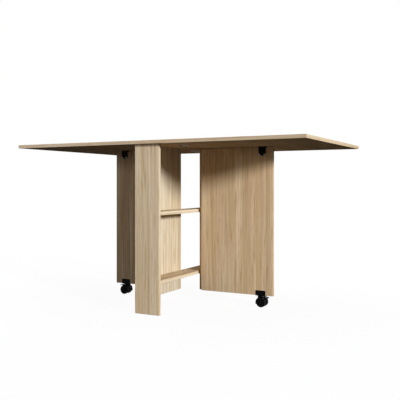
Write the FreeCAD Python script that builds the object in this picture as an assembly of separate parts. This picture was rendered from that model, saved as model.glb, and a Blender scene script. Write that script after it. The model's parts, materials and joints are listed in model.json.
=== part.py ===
# Folding gate-leg dining table, opened out. A three-board top stands on a slim two-shelf base,
# and two gates on castors swing out of the base to carry the leaves.
# Millimetres, +Z up, origin on the floor under the middle of the table, +X along its length.
# The table looks the same after half a turn about Z, so the left side is the right side turned.

import FreeCAD
import Part
import math
import os

from FreeCAD import Placement, Rotation, Vector

# Top
TABLE_LENGTH = 1400.0
TABLE_WIDTH = 800.0
TABLE_HEIGHT = 730.0
BOARD = 15.0
EDGE_RADIUS = 0.8
CENTRE_TOP_WIDTH = 160.0
CENTRE_TOP_OVERHANG = 21.0
LEAF_GAP = 2.0

# Base
END_INSET = 18.0
GROUND_GAP = 51.0
UPPER_SHELF_TOP = 430.0
LOWER_SHELF_TOP = 140.0
SHELF_SIDE_GAP = 1.0

# Gates
FINGER_GAP = 20.0
HINGE_SEAM = 1.5
GATE_SWING_CLEARANCE = 0.7

# Butt hinges
KNUCKLE_RADIUS = 2.5
KNUCKLE_COUNT = 5
KNUCKLE_END_GAP = 0.3
KNUCKLE_STANDOFF = 0.3
HINGE_PIN_RADIUS = 1.3
HINGE_PIN_CLEARANCE = 0.05
HINGE_PLATE = 1.5
HINGE_ROOT_GAP = 0.4
HINGE_MORTISE_CLEARANCE = 0.3
HINGE_SCREW_STAGGER = 4.0
GATE_HINGE_LENGTH = 64.0
GATE_PLATE_WIDTH = 24.0
GATE_HINGE_MARGIN = 70.0
LEAF_HINGE_LENGTH = 78.0
LEAF_PLATE_WIDTH = 18.0
LEAF_HINGE_SPREAD = 434.0
LEAF_AXIS_DROP = 1.8

# Countersunk wood screws
WOOD_SCREW_RADIUS = 1.5
WOOD_SCREW_HEAD_RADIUS = 3.0
WOOD_SCREW_HEAD = 1.1
WOOD_SCREW_SKIN = 4.0
SCREW_TIP = 2.5
SCREW_CLEARANCE = 0.05

# Pan-head screws of the catches and castor brackets
PAN_SCREW_RADIUS = 1.5
PAN_HEAD_RADIUS = 2.8
PAN_HEAD = 1.8
PAN_HEAD_ROUND = 1.1
PAN_TIP_GAP = 2.5
CROSS_WIDTH = 0.8
CROSS_DEPTH = 0.7

# Dowels and cam fittings
DOWEL_RADIUS = 3.0
DOWEL_IN_EDGE = 16.0
DOWEL_SKIN = 5.0
DOWEL_CHAMFER = 0.6
CAM_RADIUS = 7.5
CAM_SKIN = 3.0
CAM_REACH = 34.0
CAM_BOLT_RADIUS = 3.0
CAM_BOLT_SKIN = 4.0
CAM_SLOT_WIDTH = 1.6
CAM_SLOT_DEPTH = 2.0
FITTING_CLEARANCE = 0.1
END_DOWEL_SPREAD = 76.0
SHELF_DOWEL_SPREAD = 54.0
PANEL_FITTING_MARGIN = 110.0
PANEL_FITTING_STEP = 60.0

# Magnetic catch over the top edge of each gate
CATCH_INSET = 50.5
CATCH_WIDTH = 36.0
CATCH_FOOT_WIDTH = 32.0
CATCH_LEG = 36.0
CATCH_WALL = 2.5
CATCH_CORNER = 4.0
CATCH_EASE = 0.8
CATCH_SCREW_SPACING = 24.0
CATCH_SCREW_RISE = 5.0
CATCH_CLEARANCE = 0.3
MAGNET_LENGTH = 20.0
MAGNET_WIDTH = 8.0
MAGNET_DEPTH = 2.2
STRIKE_LENGTH = 44.0
STRIKE_WIDTH = 20.0
STRIKE = 1.2
STRIKE_SCREW_SPACING = 34.0

# Castor bracket round the bottom edge of each gate
CASTOR_INSET = 58.5
BRACKET_WIDTH = 46.0
BRACKET_HEIGHT = 22.0
BRACKET_WALL = 2.0
BRACKET_CORNER = 4.0
BRACKET_SCREW_SPACING = 28.0
BRACKET_SCREW_RISE = 13.0

# Castor
WHEEL_RADIUS = 21.5
WHEEL_EDGE = 3.0
WHEEL_SIDE_GAP = 0.5
WHEEL_DISH_DEPTH = 2.0
WHEEL_RIM = 5.5
WHEEL_CAP_RADIUS = 8.5
WHEEL_CAP = 1.5
CASTOR_WIDTH = 44.0
CASTOR_TRAIL = 5.0
AXLE_RADIUS = 3.0
AXLE_CLEARANCE = 0.05
AXLE_END_GAP = 0.3
AXLE_BOSS_RADIUS = 7.0
STEM_RADIUS = 3.0
STEM_CLEARANCE = 0.05
STEM_DEPTH = 16.0
STEM_HEAD_RADIUS = 6.0
STEM_HEAD = 2.0
STEM_COLLAR_RADIUS = 3.7
STEM_COLLAR = 1.5
STEM_COLLAR_DEPTH = 8.0
STEM_COLLAR_PLAY = 0.1
STEM_BOSS_RADIUS = 6.0
STEM_BOSS_FLOOR = 1.5
WASHER_RADIUS = 9.0
WASHER = 1.0
WASHER_PLAY = 0.15
FENDER_GAP = 0.8
FENDER = 1.7
FENDER_START = 76.0
FENDER_END = 200.0
RIB = 6.0
CROWN_RADIUS = 10.0
CROWN_REACH = 6.0

# Castor brake
BRAKE_PIVOT_GAP = 4.0
BRAKE_PIVOT_ANGLE = 62.0
BRAKE_HUB_RADIUS = 2.8
BRAKE_PIN_RADIUS = 1.5
BRAKE_PIN_CLEARANCE = 0.05
BRAKE_EAR = 3.0
BRAKE_EAR_GAP = 0.3
BRAKE_EAR_END = 88.0
BRAKE_WIDTH = 26.0
BRAKE_TAB_LENGTH = 17.5
BRAKE_TAB = 3.2
BRAKE_TAB_CORNER = 5.0
BRAKE_TAB_DROOP = 10.0
BRAKE_PAD_CLEARANCE = 0.4
BRAKE_PAD_WIDTH = 2.4
BRAKE_PAD_LEAD = 55.0

# How far a cutting shape runs past the face that it cuts, and how near two equal places lie
OVERRUN = 1.0
SAME_PLACE = 1e-6

# Places worked out from the sizes above
TOP_UNDERSIDE = TABLE_HEIGHT - BOARD
CENTRE_HALF = CENTRE_TOP_WIDTH / 2
LEAF_AXIS_X = CENTRE_HALF + LEAF_GAP / 2
LEAF_AXIS_Z = TOP_UNDERSIDE - LEAF_AXIS_DROP
BASE_HALF = CENTRE_HALF - CENTRE_TOP_OVERHANG
PANEL_INNER_X = BASE_HALF - BOARD
PANEL_MID_X = BASE_HALF - BOARD / 2
END_OUTER_Y = TABLE_WIDTH / 2 - END_INSET
END_INNER_Y = END_OUTER_Y - BOARD
END_MID_Y = END_OUTER_Y - BOARD / 2
GATE_AXIS_X = BASE_HALF + KNUCKLE_RADIUS + KNUCKLE_STANDOFF
GATE_AXIS_Y = BOARD / 2 + KNUCKLE_RADIUS + KNUCKLE_STANDOFF
GATE_NEAR_X = GATE_AXIS_X + HINGE_SEAM / 2
GATE_FAR_X = GATE_AXIS_X + GATE_AXIS_Y + END_INNER_Y - FINGER_GAP
GATE_TOP = LEAF_AXIS_Z - KNUCKLE_RADIUS - GATE_SWING_CLEARANCE
PANEL_END_Y = GATE_AXIS_Y + HINGE_SEAM / 2
CATCH_X = GATE_FAR_X - CATCH_INSET
CATCH_TOP = TOP_UNDERSIDE - STRIKE - CATCH_CLEARANCE
CASTOR_X = GATE_FAR_X - CASTOR_INSET
CROWN_TOP = GROUND_GAP - BRACKET_WALL - WASHER - 2 * WASHER_PLAY
WOOD_SCREW_LENGTH = BOARD - WOOD_SCREW_SKIN
PAN_SCREW_BITE = (BOARD - PAN_TIP_GAP) / 2

UP = Vector(0, 0, 1)
ALONG = Vector(1, 0, 0)
AWAY = Vector(0, 1, 0)
ORIGIN = Vector(0, 0, 0)


# Small helpers for solids

def slab(x0, x1, y0, y1, z0, z1):
    """A plain block between two opposite corners, given in any order."""
    corner = Vector(min(x0, x1), min(y0, y1), min(z0, z1))
    return Part.makeBox(abs(x1 - x0), abs(y1 - y0), abs(z1 - z0), corner)


def rod(radius, start, end):
    """A round bar from one point to another."""
    run = end - start
    return Part.makeCylinder(radius, run.Length, start, run)


def union(solids):
    """Solids joined to one."""
    return solids[0].fuse(solids[1:])


def half_turn(shape):
    """The same shape on the other side of the table."""
    return shape.rotated(ORIGIN, UP, 180)


def moved(shape, placement):
    """A copy of a shape carried by a placement."""
    return shape.transformed(placement.toMatrix(), copy=True)


def edges_at_height(shape, height, direction):
    """The straight edges of a shape that lie at one height and run along one direction."""
    found = []
    for edge in shape.Edges:
        ends = [vertex.Point for vertex in edge.Vertexes]
        if len(ends) < 2:
            continue
        level = all(abs(point.z - height) < SAME_PLACE for point in ends)
        run = ends[1] - ends[0]
        if level and run.cross(direction).Length < SAME_PLACE:
            found.append(edge)
    return found


def board(low, high):
    """A laminate board between two corners, with all its edges eased."""
    blank = slab(low.x, high.x, low.y, high.y, low.z, high.z)
    return blank.makeFillet(EDGE_RADIUS, blank.Edges)


# Screws, dowels and cam fittings

def cross_slots(span, width, depth):
    """The two crossed slots of a driver recess, cut into a head whose face is at z = 0."""
    first = slab(-span / 2, span / 2, -width / 2, width / 2, 0, depth)
    second = slab(-width / 2, width / 2, -span / 2, span / 2, 0, depth)
    return first.fuse(second)


def aimed(shape, point, direction):
    """A shape drawn along +Z from the origin, carried to a point and turned to a direction."""
    return moved(shape, Placement(point, Rotation(UP, direction)))


def wood_screw(point, direction):
    """A countersunk screw: its flat head is at the point and its tip lies along the direction."""
    head = Part.makeCone(WOOD_SCREW_HEAD_RADIUS, WOOD_SCREW_RADIUS, WOOD_SCREW_HEAD)
    tip_start = WOOD_SCREW_LENGTH - SCREW_TIP
    shank = rod(WOOD_SCREW_RADIUS, Vector(0, 0, WOOD_SCREW_HEAD), Vector(0, 0, tip_start))
    tip = Part.makeCone(WOOD_SCREW_RADIUS, 0, SCREW_TIP, Vector(0, 0, tip_start))
    recess = cross_slots(WOOD_SCREW_HEAD_RADIUS, CROSS_WIDTH, CROSS_DEPTH)
    return aimed(union([head, shank, tip]).cut(recess), point, direction)


def wood_screw_hole(point, direction):
    """The countersunk hole that a wood screw fills."""
    wide = WOOD_SCREW_HEAD_RADIUS + SCREW_CLEARANCE
    narrow = WOOD_SCREW_RADIUS + SCREW_CLEARANCE
    mouth = rod(wide, Vector(0, 0, -OVERRUN), ORIGIN)
    sink = Part.makeCone(wide, narrow, WOOD_SCREW_HEAD)
    bore = rod(narrow, Vector(0, 0, WOOD_SCREW_HEAD), Vector(0, 0, WOOD_SCREW_LENGTH))
    return aimed(union([mouth, sink, bore]), point, direction)


def pan_screw(point, direction, plate):
    """A pan-head screw: the underside of its head is at the point, on a plate of that thickness."""
    head = rod(PAN_HEAD_RADIUS, Vector(0, 0, -PAN_HEAD), ORIGIN)
    rim = [edge for edge in head.Edges if abs(edge.CenterOfMass.z + PAN_HEAD) < SAME_PLACE]
    head = head.makeFillet(PAN_HEAD_ROUND, rim)
    tip_start = plate + PAN_SCREW_BITE - SCREW_TIP
    shank = rod(PAN_SCREW_RADIUS, ORIGIN, Vector(0, 0, tip_start))
    tip = Part.makeCone(PAN_SCREW_RADIUS, 0, SCREW_TIP, Vector(0, 0, tip_start))
    recess = cross_slots(PAN_HEAD_RADIUS, CROSS_WIDTH, CROSS_DEPTH)
    recess.translate(Vector(0, 0, -PAN_HEAD))
    return aimed(union([head, shank, tip]).cut(recess), point, direction)


def pan_screw_hole(point, direction, plate):
    """The straight hole that a pan-head screw fills, through the plate and into the board."""
    depth = plate + PAN_SCREW_BITE
    bore = rod(PAN_SCREW_RADIUS + SCREW_CLEARANCE, Vector(0, 0, -OVERRUN), Vector(0, 0, depth))
    return aimed(bore, point, direction)


def dowel(point, into):
    """A wooden dowel across a butt joint, and its hole. The point lies on the joint."""
    start = point - into * DOWEL_IN_EDGE
    end = point + into * (BOARD - DOWEL_SKIN)
    peg = rod(DOWEL_RADIUS, start, end)
    rims = [edge for edge in peg.Edges if edge.isClosed() and len(edge.Vertexes) == 1]
    peg = peg.makeChamfer(DOWEL_CHAMFER, rims)
    slack = into * FITTING_CLEARANCE
    hole = rod(DOWEL_RADIUS + FITTING_CLEARANCE, start - slack, end + slack)
    return peg, hole


def cam_fitting(point, into, face):
    """A cam nut, its bolt and their hole. The point lies on the joint, the bolt points into the
    far board, and the nut is let into the near board's face whose outward normal is given."""
    pivot = point - into * CAM_REACH
    nut_low = pivot + face * (CAM_SKIN - BOARD / 2)
    nut_high = pivot + face * (BOARD / 2)
    bolt_end = point + into * (BOARD - CAM_BOLT_SKIN)
    slack = into * FITTING_CLEARANCE
    bolt = rod(CAM_BOLT_RADIUS, pivot, bolt_end)
    bolt_hole = rod(CAM_BOLT_RADIUS + FITTING_CLEARANCE, pivot - slack, bolt_end + slack)
    slots = aimed(cross_slots(CAM_RADIUS, CAM_SLOT_WIDTH, CAM_SLOT_DEPTH), nut_high, face * -1)
    nut = rod(CAM_RADIUS, nut_low, nut_high).cut([bolt_hole, slots])
    nut_floor = nut_low - face * FITTING_CLEARANCE
    nut_hole = rod(CAM_RADIUS + FITTING_CLEARANCE, nut_floor, nut_high + face * OVERRUN)
    return nut, bolt, nut_hole.fuse(bolt_hole)


# Butt hinges, drawn with the pin along Z and the boards' faces at y = offset

def hinge_leaf(length, width, offset, knuckles, side):
    """One plate of a butt hinge, reaching along side * X, with its own share of the knuckles."""
    root = KNUCKLE_RADIUS + HINGE_ROOT_GAP
    pitch = length / KNUCKLE_COUNT
    inner = offset - HINGE_PLATE
    solids = [slab(side * root, side * width, inner, offset, 0, length)]
    for number in knuckles:
        low = number * pitch + KNUCKLE_END_GAP / 2
        high = (number + 1) * pitch - KNUCKLE_END_GAP / 2
        solids.append(rod(KNUCKLE_RADIUS, Vector(0, 0, low), Vector(0, 0, high)))
        solids.append(slab(0, side * root, inner, offset, low, high))
    bore = rod(HINGE_PIN_RADIUS + HINGE_PIN_CLEARANCE, ORIGIN, Vector(0, 0, length))
    return union(solids).cut(bore)


def hinge_screw_points(length, width, offset, side):
    """Three staggered screw points on the open face of a hinge plate."""
    root = KNUCKLE_RADIUS + HINGE_ROOT_GAP
    middle = (root + width) / 2
    far = middle + HINGE_SCREW_STAGGER / 2
    near = middle - HINGE_SCREW_STAGGER / 2
    level = offset - HINGE_PLATE
    rows = ((far, length / 6), (near, length / 2), (far, length * 5 / 6))
    return [Vector(side * reach, level, height) for reach, height in rows]


def hinge(length, width, offset, still_place, moving_place):
    """A whole butt hinge. Returns its still plate, moving plate, pin, both sets of screws and
    both sets of holes, each plate carried by its own placement."""
    still_knuckles = range(0, KNUCKLE_COUNT, 2)
    moving_knuckles = range(1, KNUCKLE_COUNT, 2)
    parts = {"pin": moved(rod(HINGE_PIN_RADIUS, ORIGIN, Vector(0, 0, length)), still_place)}
    halves = (("still", still_knuckles, 1, still_place), ("moving", moving_knuckles, -1, moving_place))
    for name, knuckles, side, place in halves:
        points = hinge_screw_points(length, width, offset, side)
        holes = [wood_screw_hole(point, AWAY) for point in points]
        plate = hinge_leaf(length, width, offset, knuckles, side).cut(holes)
        parts[name + "_plate"] = moved(plate, place)
        parts[name + "_screws"] = [moved(wood_screw(point, AWAY), place) for point in points]
        parts[name + "_holes"] = [moved(hole, place) for hole in holes]
    return parts


def gate_hinges():
    """The hinges of the right gate, at its bottom, middle and top."""
    low = GROUND_GAP + GATE_HINGE_MARGIN
    high = GATE_TOP - GATE_HINGE_MARGIN - GATE_HINGE_LENGTH
    offset = KNUCKLE_RADIUS + KNUCKLE_STANDOFF
    on_panel = Rotation(AWAY, ALONG * -1, UP, "XYZ")
    on_gate = Rotation(ALONG * -1, AWAY * -1, UP, "XYZ")
    found = []
    for height in (low, (low + high) / 2, high):
        pin_foot = Vector(GATE_AXIS_X, GATE_AXIS_Y, height)
        places = Placement(pin_foot, on_panel), Placement(pin_foot, on_gate)
        found.append(hinge(GATE_HINGE_LENGTH, GATE_PLATE_WIDTH, offset, *places))
    return found


def leaf_hinges():
    """The hinges of the right leaf, let in flush with the underside of the top."""
    turn = Rotation(ALONG * -1, UP, AWAY, "XYZ")
    found = []
    for middle in (-LEAF_HINGE_SPREAD / 2, LEAF_HINGE_SPREAD / 2):
        pin_foot = Vector(LEAF_AXIS_X, middle - LEAF_HINGE_LENGTH / 2, LEAF_AXIS_Z)
        place = Placement(pin_foot, turn)
        offset = LEAF_AXIS_DROP + HINGE_PLATE
        found.append(hinge(LEAF_HINGE_LENGTH, LEAF_PLATE_WIDTH, offset, place, place))
    return found


def leaf_mortises():
    """The shallow recesses that let the right leaf's hinges in, across both boards."""
    reach = LEAF_PLATE_WIDTH + HINGE_MORTISE_CLEARANCE
    half = LEAF_HINGE_LENGTH / 2 + HINGE_MORTISE_CLEARANCE
    floor = TOP_UNDERSIDE + HINGE_PLATE
    recesses = []
    for middle in (-LEAF_HINGE_SPREAD / 2, LEAF_HINGE_SPREAD / 2):
        recesses.append(slab(LEAF_AXIS_X - reach, LEAF_AXIS_X + reach, middle - half, middle + half,
                             TOP_UNDERSIDE - OVERRUN, floor))
    return recesses


# Magnetic catch

def catch_screw_points():
    """Where the catch's screws sit, each with the way it points: two on each leg."""
    face = BOARD / 2 + CATCH_WALL
    height = GATE_TOP - CATCH_LEG + CATCH_SCREW_RISE
    places = []
    for across in (-CATCH_SCREW_SPACING / 2, CATCH_SCREW_SPACING / 2):
        places.append((Vector(CATCH_X + across, -face, height), AWAY))
        places.append((Vector(CATCH_X + across, face, height), AWAY * -1))
    return places


def magnet_block(slack):
    """The bar magnet in the top of the catch, or with some slack its pocket."""
    half_length = MAGNET_LENGTH / 2 + slack
    half_width = MAGNET_WIDTH / 2 + slack
    return slab(CATCH_X - half_length, CATCH_X + half_length, -half_width, half_width,
                CATCH_TOP - MAGNET_DEPTH - slack, CATCH_TOP + (OVERRUN if slack else 0))


def catch_saddle(holes):
    """The moulded saddle that straddles the gate's top edge and narrows towards its feet."""
    low = GATE_TOP - CATCH_LEG
    depth = BOARD + 2 * CATCH_WALL
    outline = [(-CATCH_FOOT_WIDTH / 2, low), (CATCH_FOOT_WIDTH / 2, low),
               (CATCH_WIDTH / 2, CATCH_TOP), (-CATCH_WIDTH / 2, CATCH_TOP)]
    points = [Vector(CATCH_X + across, -depth / 2, height) for across, height in outline]
    blank = Part.Face(Part.makePolygon(points + points[:1])).extrude(AWAY * depth)
    blank = blank.makeFillet(CATCH_CORNER, edges_at_height(blank, low, AWAY))
    top_edges = edges_at_height(blank, CATCH_TOP, AWAY) + edges_at_height(blank, CATCH_TOP, ALONG)
    blank = blank.makeFillet(CATCH_EASE, top_edges)
    slot = slab(CATCH_X - CATCH_WIDTH, CATCH_X + CATCH_WIDTH, -BOARD / 2, BOARD / 2,
                low - OVERRUN, GATE_TOP)
    return blank.cut([slot, magnet_block(FITTING_CLEARANCE)] + holes)


def strike_screw_points():
    """Where the strike plate's two screws sit, on its lower face."""
    height = TOP_UNDERSIDE - STRIKE
    halves = (-STRIKE_SCREW_SPACING / 2, STRIKE_SCREW_SPACING / 2)
    return [Vector(CATCH_X + half, 0, height) for half in halves]


# Castor bracket and stem

def bracket_screw_points():
    """Where the bracket's screws sit, each with the way it points: two on each cheek."""
    face = BOARD / 2 + BRACKET_WALL
    height = GROUND_GAP + BRACKET_SCREW_RISE
    places = []
    for across in (-BRACKET_SCREW_SPACING / 2, BRACKET_SCREW_SPACING / 2):
        places.append((Vector(CASTOR_X + across, -face, height), AWAY))
        places.append((Vector(CASTOR_X + across, face, height), AWAY * -1))
    return places


def castor_bracket(holes):
    """The folded steel bracket round the gate's bottom edge, with rounded upper corners."""
    face = BOARD / 2 + BRACKET_WALL
    low = GROUND_GAP - BRACKET_WALL
    high = GROUND_GAP + BRACKET_HEIGHT
    left = CASTOR_X - BRACKET_WIDTH / 2
    right = CASTOR_X + BRACKET_WIDTH / 2
    blank = slab(left, right, -face, face, low, high)
    blank = blank.makeFillet(BRACKET_CORNER, edges_at_height(blank, high, AWAY))
    blank = blank.makeFillet(BRACKET_WALL, edges_at_height(blank, low, ALONG))
    slot = slab(left - OVERRUN, right + OVERRUN, -BOARD / 2, BOARD / 2, GROUND_GAP, high + OVERRUN)
    bore = rod(STEM_RADIUS + STEM_CLEARANCE, Vector(CASTOR_X, 0, low - OVERRUN),
               Vector(CASTOR_X, 0, high))
    return blank.cut([slot, bore] + holes)


def castor_stem(radial, axial):
    """The swivel stem: a head above the bracket, a plain shank and a snap collar in the hood.
    With some slack all round it is the bore that the stem runs in."""
    low = CROWN_TOP - STEM_DEPTH
    collar_high = CROWN_TOP - STEM_COLLAR_DEPTH
    collar_low = collar_high - STEM_COLLAR
    axis = Vector(CASTOR_X, 0, 0)
    shank = rod(STEM_RADIUS + radial, axis + UP * (low - axial), axis + UP * GROUND_GAP)
    collar = rod(STEM_COLLAR_RADIUS + radial, axis + UP * (collar_low - axial),
                 axis + UP * (collar_high + axial))
    head = rod(STEM_HEAD_RADIUS + radial, axis + UP * GROUND_GAP,
               axis + UP * (GROUND_GAP + STEM_HEAD + axial))
    return union([shank, collar, head])


# Castor, drawn in side view round the wheel's centre: X outwards, Y up, width along Z

SIDE_VIEW = Rotation(ALONG, UP, AWAY * -1, "XYZ")
CASTOR_PLACE = Placement(Vector(CASTOR_X + CASTOR_TRAIL, 0, WHEEL_RADIUS), SIDE_VIEW)


def polar(radius, angle):
    """A side-view point at a distance and angle from the wheel's centre."""
    turn = math.radians(angle)
    return Vector(radius * math.cos(turn), radius * math.sin(turn), 0)


def disc(radius, z0, z1, centre=ORIGIN):
    """A round disc across the castor's width."""
    return rod(radius, centre + UP * z0, centre + UP * z1)


def ring_sector(inner, outer, start, end, z0, z1):
    """A piece of a flat ring between two radii and two angles."""
    pie = Part.makeCylinder(outer, z1 - z0, Vector(0, 0, z0), UP, end - start)
    pie = pie.rotated(ORIGIN, UP, start)
    return pie.cut(disc(inner, z0 - OVERRUN, z1 + OVERRUN)) if inner else pie


def hood_crown():
    """The upright plug of the hood round the stem: a flat oval that reaches in over the fender."""
    stem = Vector(CASTOR_X, 0, WHEEL_RADIUS)
    back = stem - ALONG * CROWN_REACH
    side = AWAY * CROWN_RADIUS
    outline = [Part.LineSegment(stem + side, back + side),
               Part.Arc(back + side, back - ALONG * CROWN_RADIUS, back - side),
               Part.LineSegment(back - side, stem - side),
               Part.Arc(stem - side, stem + ALONG * CROWN_RADIUS, stem + side)]
    face = Part.Face(Part.Wire([curve.toShape() for curve in outline]))
    return face.extrude(UP * (CROWN_TOP - WHEEL_RADIUS))


def castor_hood():
    """The moulded hood: fender over both wheels, centre rib, axle and stem bosses, brake ears."""
    inner = WHEEL_RADIUS + FENDER_GAP
    outer = inner + FENDER
    half = CASTOR_WIDTH / 2
    ear_low = BRAKE_WIDTH / 2 + BRAKE_EAR_GAP
    ear_high = ear_low + BRAKE_EAR
    pivot_radius = WHEEL_RADIUS + BRAKE_PIVOT_GAP
    pivot = polar(pivot_radius, BRAKE_PIVOT_ANGLE)
    solids = [ring_sector(inner, outer, FENDER_START, FENDER_END, -half, half),
              ring_sector(0, inner + FENDER / 2, FENDER_START, FENDER_END, -RIB / 2, RIB / 2),
              disc(AXLE_BOSS_RADIUS, -STEM_BOSS_RADIUS, STEM_BOSS_RADIUS)]
    for low, high in ((ear_low, ear_high), (-ear_high, -ear_low)):
        solids.append(ring_sector(inner, pivot_radius, BRAKE_PIVOT_ANGLE, BRAKE_EAR_END, low, high))
        solids.append(disc(BRAKE_HUB_RADIUS, low, high, pivot))
    bores = [disc(AXLE_RADIUS + AXLE_CLEARANCE, -half, half),
             disc(BRAKE_PIN_RADIUS + BRAKE_PIN_CLEARANCE, -half, half, pivot)]
    boss_low = CROWN_TOP - STEM_DEPTH - STEM_BOSS_FLOOR
    axis = Vector(CASTOR_X, 0, 0)
    boss = rod(STEM_BOSS_RADIUS, axis + UP * boss_low, axis + UP * CROWN_TOP)
    crown = hood_crown().cut(moved(disc(inner + FENDER / 2, -half, half), CASTOR_PLACE))
    body = union([moved(solid, CASTOR_PLACE) for solid in solids] + [boss, crown])
    holes = [moved(bore, CASTOR_PLACE) for bore in bores]
    return body.cut(holes + [castor_stem(STEM_CLEARANCE, STEM_COLLAR_PLAY)])


def castor_axle():
    """The axle pressed through the hood's boss, one wheel running on each end."""
    half = CASTOR_WIDTH / 2 - WHEEL_DISH_DEPTH - WHEEL_CAP
    return moved(disc(AXLE_RADIUS, -half, half), CASTOR_PLACE)


def castor_wheel(side):
    """One moulded wheel: rounded tread, dished outer face, capped hub over a blind bore."""
    low = STEM_BOSS_RADIUS + WHEEL_SIDE_GAP
    high = CASTOR_WIDTH / 2
    dish = high - WHEEL_DISH_DEPTH
    blank = disc(WHEEL_RADIUS, low, high)
    rims = [edge for edge in blank.Edges if edge.isClosed() and len(edge.Vertexes) == 1]
    blank = blank.makeFillet(WHEEL_EDGE, rims)
    groove = ring_sector(WHEEL_CAP_RADIUS, WHEEL_RADIUS - WHEEL_RIM, 0, 360, dish, high + OVERRUN)
    bore_end = dish - WHEEL_CAP + AXLE_END_GAP
    bore = disc(AXLE_RADIUS + AXLE_CLEARANCE, low - OVERRUN, bore_end)
    wheel = blank.cut([groove, bore])
    if side < 0:
        wheel = wheel.rotated(ORIGIN, ALONG, 180)
    return moved(wheel, CASTOR_PLACE)


def castor_washer():
    """The sliding washer between the bracket and the hood's crown."""
    low = CROWN_TOP + WASHER_PLAY
    axis = Vector(CASTOR_X, 0, 0)
    ring = rod(WASHER_RADIUS, axis + UP * low, axis + UP * (low + WASHER))
    return ring.cut(rod(STEM_RADIUS + STEM_CLEARANCE, axis + UP * CROWN_TOP, axis + UP * GROUND_GAP))


def brake_lever():
    """The foot brake: a hub on two trunnions, a pad that turns onto the treads, and a toe tab."""
    pivot = polar(WHEEL_RADIUS + BRAKE_PIVOT_GAP, BRAKE_PIVOT_ANGLE)
    half = BRAKE_WIDTH / 2
    pin_half = half + BRAKE_EAR_GAP + BRAKE_EAR
    hub = disc(BRAKE_HUB_RADIUS, -half, half, pivot)
    pins = disc(BRAKE_PIN_RADIUS, -pin_half, pin_half, pivot)
    reach = BRAKE_PIVOT_GAP - BRAKE_PAD_CLEARANCE
    pad = slab(0, reach, -BRAKE_PAD_WIDTH / 2, BRAKE_PAD_WIDTH / 2, -half, half)
    pad = pad.rotated(ORIGIN, UP, BRAKE_PIVOT_ANGLE + 180 + BRAKE_PAD_LEAD).translated(pivot)
    blank = slab(0, BRAKE_TAB_LENGTH, -BRAKE_TAB / 2, BRAKE_TAB / 2, -half, half)
    tip = [edge for edge in blank.Edges if abs(edge.CenterOfMass.x - BRAKE_TAB_LENGTH) < SAME_PLACE]
    corners = [edge for edge in tip if abs(edge.CenterOfMass.y) < SAME_PLACE]
    tab = blank.makeFillet(BRAKE_TAB_CORNER, corners)
    tab = tab.rotated(ORIGIN, UP, -BRAKE_TAB_DROOP).translated(pivot)
    return moved(union([hub, pins, pad, tab]), CASTOR_PLACE)


# Fittings of the base, worked out for the right side and the rear end, then turned

def fittings():
    """Every dowel, cam nut and cam bolt, and the holes that each base board needs for them."""
    joints = []
    top_of_end = Vector(0, END_MID_Y, TOP_UNDERSIDE)
    joints.append(("cam", top_of_end, UP, AWAY * -1, ("rear_end_panel", "centre_top")))
    for half in (-END_DOWEL_SPREAD / 2, END_DOWEL_SPREAD / 2):
        joints.append(("dowel", top_of_end + ALONG * half, UP, None, ("rear_end_panel", "centre_top")))
    top_of_panel = Vector(PANEL_MID_X, END_INNER_Y - PANEL_FITTING_MARGIN, TOP_UNDERSIDE)
    pair = ("right_fixed_panel", "centre_top")
    joints.append(("cam", top_of_panel, UP, ALONG * -1, pair))
    joints.append(("dowel", top_of_panel + AWAY * PANEL_FITTING_STEP, UP, None, pair))
    joints.append(("dowel", top_of_panel - AWAY * PANEL_FITTING_STEP, UP, None, pair))
    pair = ("right_fixed_panel", "rear_end_panel")
    foot = Vector(PANEL_MID_X, END_INNER_Y, GROUND_GAP + PANEL_FITTING_MARGIN)
    crown = Vector(PANEL_MID_X, END_INNER_Y, TOP_UNDERSIDE - PANEL_FITTING_MARGIN)
    for end, step in ((foot, UP * PANEL_FITTING_STEP), (crown, UP * -PANEL_FITTING_STEP)):
        joints.append(("cam", end, AWAY, ALONG * -1, pair))
        joints.append(("dowel", end + step, AWAY, None, pair))
    for shelf, top in (("upper_shelf", UPPER_SHELF_TOP), ("lower_shelf", LOWER_SHELF_TOP)):
        pair = (shelf, "rear_end_panel")
        end = Vector(0, END_INNER_Y, top - BOARD / 2)
        joints.append(("cam", end, AWAY, UP * -1, pair))
        for half in (-SHELF_DOWEL_SPREAD / 2, SHELF_DOWEL_SPREAD / 2):
            joints.append(("dowel", end + ALONG * half, AWAY, None, pair))
    made = {"wood_dowels": [], "cam_nuts": [], "cam_bolts": []}
    holes = {}
    for kind, point, into, face, pair in joints:
        if kind == "dowel":
            peg, hole = dowel(point, into)
            made["wood_dowels"].append(peg)
        else:
            nut, bolt, hole = cam_fitting(point, into, face)
            made["cam_nuts"].append(nut)
            made["cam_bolts"].append(bolt)
        for name in pair:
            holes.setdefault(name, []).append(hole)
    return made, holes


# The boards

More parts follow.
